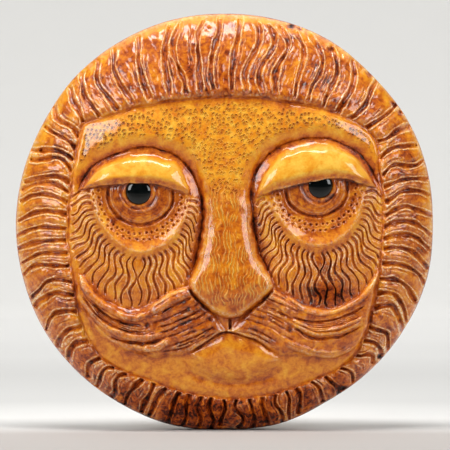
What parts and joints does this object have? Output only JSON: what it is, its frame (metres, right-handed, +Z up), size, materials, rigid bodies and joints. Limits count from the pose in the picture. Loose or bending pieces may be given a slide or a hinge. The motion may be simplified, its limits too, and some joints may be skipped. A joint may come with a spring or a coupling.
{
  "type": "lion head wall plaque",
  "caption": "Round wall plaque in honey-glazed stoneware: a lion's face in relief within a carved mane, dark glass pupils, hollow back with a hanging rib.",
  "frame": {"origin": "middle of the back face of the hanging rib, in the plane of the wall", "axes": "+Y into the wall, +Z up, the face looks along -Y"},
  "size_m": [0.3001, 0.0571, 0.3],
  "materials": {
    "glazed_clay": "gloss honey glaze, dark in the cuts and pale on the edges",
    "pupil_glass": "polished near-black glass"
  },
  "bodies": {
    "root": {"plaque": "glazed_clay", "left_pupil": "pupil_glass", "right_pupil": "pupil_glass"}
  },
  "joints": []
}
